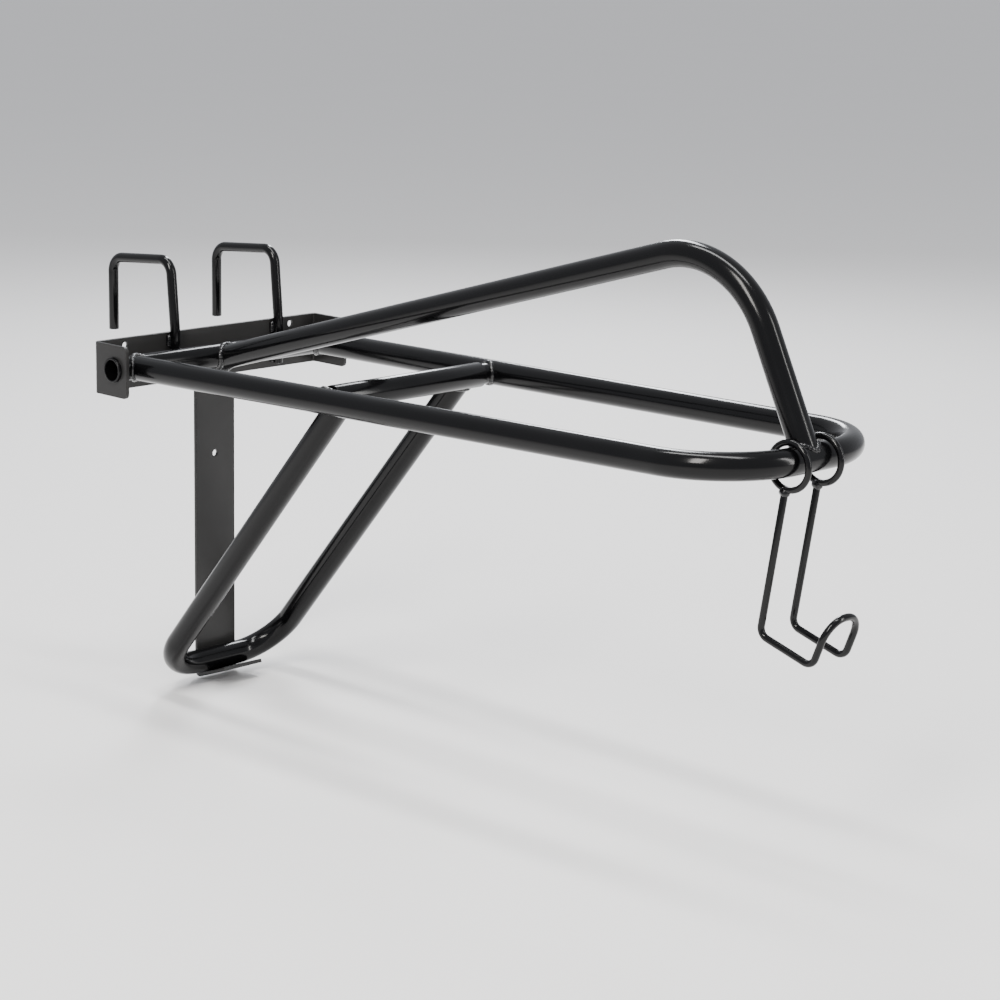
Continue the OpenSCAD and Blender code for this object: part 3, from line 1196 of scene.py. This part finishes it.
class Arm(Assembly):
    """The lifting arm: pivot tube, U frame, ridge bar and hinge rod."""

    body = "arm"
    nose_half = 81.0 * MM
    rail_half = 94.0 * MM
    nose_bend = 64.0 * MM
    ridge_drop = 2.4 * MM
    ridge_deg = 15.0
    ridge_lean_deg = 25.0
    ridge_bend = 75.0 * MM
    ridge_foot_back = 0.5 * MM
    rear_bead_share = 1.3

    def build(self) -> None:
        """Builds every piece of the arm."""
        b = self.base
        x = b.x_dir
        low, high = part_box("pivot_tube")
        ends = (Vector((low.x, b.pivot.y, b.pivot.z)), Vector((high.x, b.pivot.y, b.pivot.z)))
        self.place(Sweep(BentPath(ends), b.tube_r, b.bore, 72).draft(), "pivot_tube", Slot.TUBE)

        on_pivot = Cope(b.pivot, x, b.seat)
        rail = (b.arm(-self.rail_half, 0, 0), b.arm(-self.nose_half, b.arm_length, 0),
                b.arm(self.nose_half, b.arm_length, 0), b.arm(self.rail_half, 0, 0))
        frame_path = BentPath(rail, (self.nose_bend, self.nose_bend), 40)
        rails = Sweep(frame_path, b.tube_r, b.bore, 64, start=on_pivot, end=on_pivot)
        self.place(rails.draft(), "arm_frame", Slot.TUBE)

        beads = MeshDraft()
        for number, (root, tip) in enumerate(((rail[0], rail[1]), (rail[3], rail[2]))):
            line = saddle_line((b.pivot, x, b.tube_r), (root, (tip - root).normalized(), b.tube_r))
            beads.absorb(Bead(line, b.bead, True, 21 + number).draft())
        self.place(beads, "rail_welds", Slot.WELD, 50)

        self._ridge()
        self._hinge_rod(rail)

    def _ridge(self) -> None:
        """Builds the ridge bar and the welds at its two ends."""
        b = self.base
        ridge_x = middle("ridge_bar").x
        rise, lean = math.tan(math.radians(self.ridge_deg)), math.tan(math.radians(self.ridge_lean_deg))
        foot = b.arm_length - self.ridge_foot_back
        top = (foot + self.ridge_drop * lean) / (1 + rise * lean)
        path = (b.arm(ridge_x, 0, -self.ridge_drop), b.arm(ridge_x, top, top * rise - self.ridge_drop),
                b.arm(ridge_x, foot, 0))
        bar = Sweep(BentPath(path, (self.ridge_bend,), 44), b.tube_r, b.bore, 64,
                    start=Cope(b.pivot, b.x_dir, b.seat), end=Cope(b.nose, b.x_dir, b.seat))
        self.place(bar.draft(), "ridge_bar", Slot.TUBE)
        rear = saddle_line((b.pivot, b.x_dir, b.tube_r),
                           (path[0], (path[1] - path[0]).normalized(), b.tube_r))
        rear_bead = Bead(rear, b.bead * self.rear_bead_share, True, 31)
        self.place(rear_bead.draft(), "ridge_rear_weld", Slot.WELD, 50)
        front = saddle_line((b.nose, b.x_dir, b.tube_r),
                            (path[2], (path[1] - path[2]).normalized(), b.tube_r))
        self.place(Bead(front, b.bead, True, 32).draft(), "ridge_front_weld", Slot.WELD, 50)

    def _hinge_rod(self, rail: Sequence[Vector]) -> None:
        """Builds the rod that the strut's sleeve turns on, and its welds.

        Args:
            rail: the corners of the U frame, from the left rail's end to the right rail's end.
        """
        b = self.base
        low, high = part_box("hinge_rod")
        r = (high.z - low.z) / 2
        share = (b.hinge - b.pivot).length / b.arm_length
        reach = self.rail_half + (self.nose_half - self.rail_half) * share
        ends = (b.hinge - b.x_dir * reach, b.hinge + b.x_dir * reach)
        left, right = (rail[1] - rail[0]).normalized(), (rail[2] - rail[3]).normalized()
        rod = Sweep(BentPath(ends), r, sides=56, start=Cope(rail[0], left, b.seat),
                    end=Cope(rail[3], right, b.seat))
        self.place(rod.draft(), "hinge_rod", Slot.TUBE)
        beads = MeshDraft()
        for number, (axis_point, axis, end, away) in enumerate((
                (rail[0], left, ends[0], b.x_dir), (rail[3], right, ends[1], -b.x_dir))):
            line = saddle_line((axis_point, axis, b.tube_r), (end, away, r))
            beads.absorb(Bead(line, b.bead, True, 41 + number).draft())
        self.place(beads, "hinge_rod_welds", Slot.WELD, 50)


# ---------------------------------------------------------------- strut


class Strut(Assembly):
    """The folding strut: a sleeve round the hinge rod and a U of tube."""

    body = "strut"
    leg_half = 59.0 * MM
    bend = 38.0 * MM
    top_behind = 4.0 * MM
    cut_below = 4.0 * MM
    sleeve_bore = 7.98 * MM

    def build(self) -> None:
        """Builds every piece of the strut."""
        b = self.base
        low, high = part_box("strut_sleeve")
        ends = (Vector((low.x, b.hinge.y, b.hinge.z)), Vector((high.x, b.hinge.y, b.hinge.z)))
        self.place(Sweep(BentPath(ends), b.tube_r, self.sleeve_bore, 72).draft(), "strut_sleeve", Slot.TUBE)

        low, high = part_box("strut")
        foot = Vector((0, high.y - b.tube_r, low.z + b.tube_r))
        top = Vector((0, b.hinge.y + self.top_behind, b.hinge.z))
        side = b.x_dir * self.leg_half
        corners = (top - side, foot - side, foot + side, top + side)
        level = LevelCut(b.hinge.z - self.cut_below)
        cut = FirstOf((level, Cope(b.hinge, b.x_dir, b.tube_r - 0.7 * MM)))
        sweep = Sweep(BentPath(corners, (self.bend, self.bend), 36), b.tube_r, b.bore, 64, start=cut, end=cut)
        self.place(sweep.draft(), "strut", Slot.TUBE)

        beads = MeshDraft()
        for number, (root, tip) in enumerate(((corners[0], corners[1]), (corners[3], corners[2]))):
            line = saddle_line((b.hinge, b.x_dir, b.tube_r), (root, (tip - root).normalized(), b.tube_r),
                               lambda p: p.z < level.height - 1.2 * MM)
            beads.absorb(Bead(line, b.bead, False, 51 + number).draft())
        self.place(beads, "strut_welds", Slot.WELD, 50)


# ---------------------------------------------------------------- bridle hook


class BridleHook(Assembly):
    """The wire hook that hangs from the nose by two rings."""

    body = "bridle_hook"
    wire_r = 2.5 * MM
    tilt_deg = 9.0
    drop = 101.0 * MM
    reach = 45.0 * MM
    floor_fall = 6.0 * MM
    arch_h = 34.0 * MM
    arch_lean = 7.0 * MM
    corner_r = 7.0 * MM

    def build(self) -> None:
        """Builds the rings, the wire and the welds between them."""
        b = self.base
        sides = {node: middle(node) for node in ("bridle_ring_left", "bridle_ring_right")}
        low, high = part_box("bridle_ring_left")
        ring_wire = (high.x - low.x) / 2
        ring_r = (high.y - low.y) / 2 - ring_wire
        turn = Matrix.Rotation(math.radians(self.tilt_deg), 3, "X")
        centre_x = sum(c.x for c in sides.values()) / 2
        for node, centre in sides.items():
            self.place(self._ring(centre, ring_r, ring_wire), node, Slot.ROD)

        sag = (sides["bridle_ring_left"] - Vector((sides["bridle_ring_left"].x, b.nose.y, b.nose.z))).length
        top = -sag - ring_r
        floor_z = top - self.drop - self.floor_fall
        profile = ((0.0, top + ring_wire * 0.6), (0.0, top - self.drop), (-self.reach, floor_z),
                   (-self.reach - self.arch_lean, floor_z + self.arch_h))
        half = (sides["bridle_ring_right"].x - sides["bridle_ring_left"].x) / 2
        left = [Vector((-half, y, z)) for y, z in profile]
        right = [Vector((half, y, z)) for y, z in reversed(profile)]
        home = Vector((centre_x, b.nose.y, b.nose.z))
        corners = tuple(home + turn @ p for p in left + right)
        arch_r = half - 1 * MM
        bends = (self.corner_r, self.corner_r, arch_r, arch_r, self.corner_r, self.corner_r)
        wire = Sweep(BentPath(corners, bends, 16), self.wire_r, sides=32, flatten=0.04)
        self.place(wire.draft(), "bridle_hook", Slot.ROD)

        lumps = MeshDraft()
        for number, s in enumerate((-half, half)):
            at = home + turn @ Vector((s, 0.2 * MM, top - ring_wire * 0.9))
            lumps.absorb(Blob(at, Vector((3.6, 4.3, 4.0)) * MM, 61 + number, turn).draft())
        self.place(lumps, "ring_welds", Slot.WELD, 50)

    def _ring(self, centre: Vector, radius: float, wire: float) -> MeshDraft:
        """Builds one ring.

        Args:
            centre: its centre.
            radius: its mean radius.
            wire: the radius of its wire.

        Returns:
            Its closed mesh.
        """
        draft, rings = MeshDraft(), []
        for i in range(96):
            a = TAU * i / 96
            arm = Vector((0, math.cos(a), math.sin(a)))
            ring = []
            for j in range(28):
                t = TAU * j / 28
                ring.append(centre + arm * (radius + wire * math.cos(t))
                            + self.base.x_dir * (wire * math.sin(t)))
            rings.append(draft.ring(ring))
        for i in range(96):
            draft.bridge(rings[i], rings[(i + 1) % 96])
        return draft


# ---------------------------------------------------------------- stage


@dataclass(frozen=True)
class SoftBox:
    """A rectangular soft light."""

    name: str
    place: Vector
    aim: Vector
    width: float
    height: float
    watts: float
    warmth: tuple[float, float, float] = (1.0, 1.0, 1.0)

    def build(self) -> None:
        """Adds the light."""
        light = bpy.data.lights.new(self.name, "AREA")
        light.shape = "RECTANGLE"
        light.size, light.size_y = self.width, self.height
        light.energy = self.watts
        light.color = self.warmth
        made = bpy.data.objects.new(self.name, light)
        made.location = self.place
        made.rotation_mode = "QUATERNION"
        made.rotation_quaternion = (self.aim - self.place).to_track_quat("-Z", "Y")
        bpy.context.scene.collection.objects.link(made)
        made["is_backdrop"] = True


class Studio:
    """The floor, the lights and the camera."""

    floor_gap = 2.0 * MM
    floor_half = 40.0
    lens_mm = 97.77
    sensor_mm = 36.0
    eye = (-1.3753, -1.6549, 0.3684)
    eye_right = (0.69691, -0.71689, 0.01935)
    eye_up = (0.14606, 0.16831, 0.97485)
    eye_back = (-0.70212, -0.67656, 0.22201)

    def __init__(self, low: Vector, high: Vector) -> None:
        """Keeps the object's box.

        Args:
            low: its lowest corner.
            high: its highest corner.
        """
        self.low, self.high = low, high

    def _floor(self) -> None:
        """Adds a pale floor under the object."""
        middle_point = (self.low + self.high) / 2
        half = self.floor_half
        draft = MeshDraft()
        steps = 12
        rows = [draft.ring(Vector((middle_point.x - half + 2 * half * i / steps,
                                   middle_point.y - half + 2 * half * j / steps, self.low.z - self.floor_gap))
                           for i in range(steps + 1)) for j in range(steps + 1)]
        for a, b in zip(rows, rows[1:]):
            draft.faces += [(a[i], a[i + 1], b[i + 1], b[i]) for i in range(steps)]
        floor = draft.build("floor")
        floor.data.materials.append(Plain("floor_paint", (0.90, 0.89, 0.88), 0.95).material())
        floor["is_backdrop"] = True

    def _sky(self) -> None:
        """Adds an even pale surround."""
        world = bpy.data.worlds.new("surround")
        world.use_nodes = True
        background = world.node_tree.nodes["Background"]
        background.inputs["Color"].default_value = (0.93, 0.95, 1.0, 1)
        background.inputs["Strength"].default_value = 0.70
        bpy.context.scene.world = world

    def _camera(self) -> None:
        """Adds the camera at the reference view."""
        data = bpy.data.cameras.new("camera")
        data.lens, data.sensor_width = self.lens_mm, self.sensor_mm
        data.clip_start, data.clip_end = 0.05, 150.0
        data.dof.use_dof = False
        made = bpy.data.objects.new("camera", data)
        turn = Matrix((self.eye_right, self.eye_up, self.eye_back)).transposed().to_4x4()
        made.matrix_world = Matrix.Translation(self.eye) @ turn
        bpy.context.scene.collection.objects.link(made)
        bpy.context.scene.camera = made

    def build(self) -> None:
        """Builds the stage."""
        self._floor()
        self._sky()
        aim = (self.low + self.high) / 2
        for box in (
                SoftBox("key", Vector((-1.6, -0.9, 1.7)), aim, 0.45, 1.4, 60, (1.0, 0.97, 0.93)),
                SoftBox("rim", Vector((1.3, 0.9, 1.3)), aim, 0.3, 1.6, 34, (0.95, 0.97, 1.0)),
                SoftBox("front", Vector((0.9, -2.2, 0.7)), aim, 0.2, 1.6, 20, (1.0, 0.99, 0.97)),
                SoftBox("top", Vector((0.0, -0.3, 1.9)), aim, 0.25, 1.8, 34)):
            box.build()
        self._camera()


def main() -> None:
    """Builds the sub-assemblies in order and then the stage."""
    logging.basicConfig(level=logging.INFO, format="%(message)s")
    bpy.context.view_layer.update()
    base = Frame()
    finishes = {paint.slot: paint.material() for paint in PAINTS}
    for kind in (Bracket, Arm, Strut, BridleHook):
        kind(base, finishes).build()
        LOG.info("built %s", kind.__name__)
    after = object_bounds()
    Studio(*after).build()


if __name__ == "__main__":
    main()
